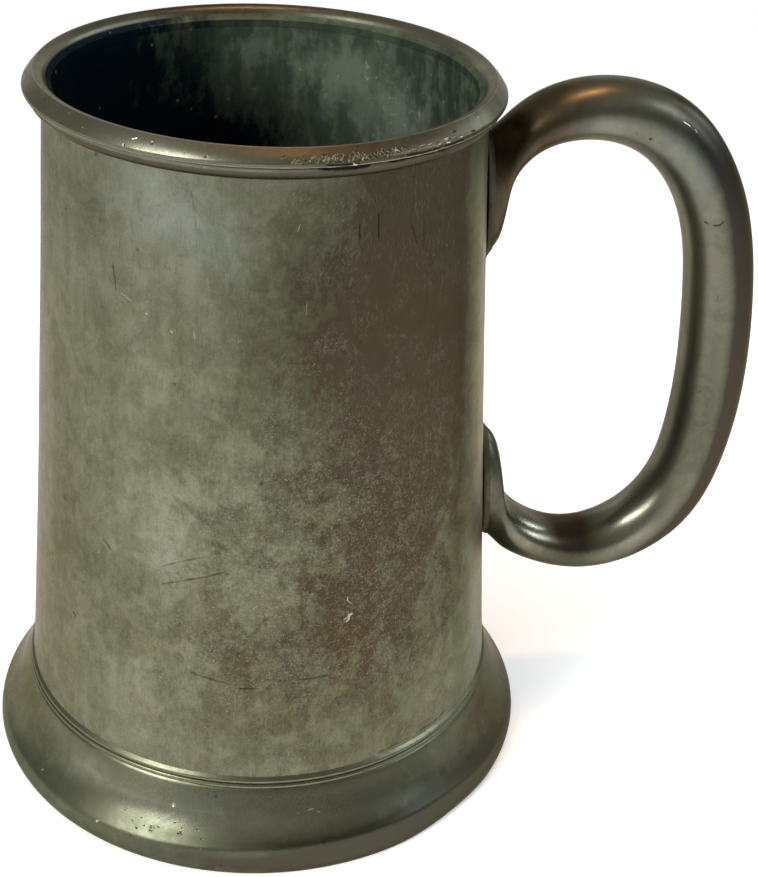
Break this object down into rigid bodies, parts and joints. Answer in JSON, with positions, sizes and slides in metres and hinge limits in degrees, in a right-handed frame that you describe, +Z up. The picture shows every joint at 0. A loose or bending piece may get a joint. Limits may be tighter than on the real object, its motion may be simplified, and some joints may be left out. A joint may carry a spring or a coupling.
{
  "type": "pewter tankard",
  "caption": "Tapered pewter drinking mug with a rolled rim, a spread moulded foot and a hollow loop handle soldered to the side.",
  "frame": {"origin": "middle of the bounding box at the table, which lies 20.9 mm from the drum's axis towards the handle", "axes": "+Z up along the drum's axis, +X from the drum's axis towards the handle, +Y across the handle's plane"},
  "size_m": [0.1442, 0.1024, 0.13],
  "materials": {
    "drum_pewter": "worn satin pewter with a grey-green patina",
    "rim_pewter": "handled, slightly warm pewter with nicks",
    "foot_pewter": "smooth grey-green pewter",
    "floor_pewter": "dark tarnished pewter",
    "handle_pewter": "hand-polished cast pewter",
    "solder": "dull solder"
  },
  "bodies": {
    "root": {"drum": "drum_pewter", "rim_moulding": "rim_pewter", "foot_ring": "foot_pewter", "floor_disc": "floor_pewter", "handle": "handle_pewter", "handle_upper_solder": "solder", "handle_lower_solder": "solder", "floor_solder": "solder", "foot_solder": "solder"}
  },
  "joints": []
}
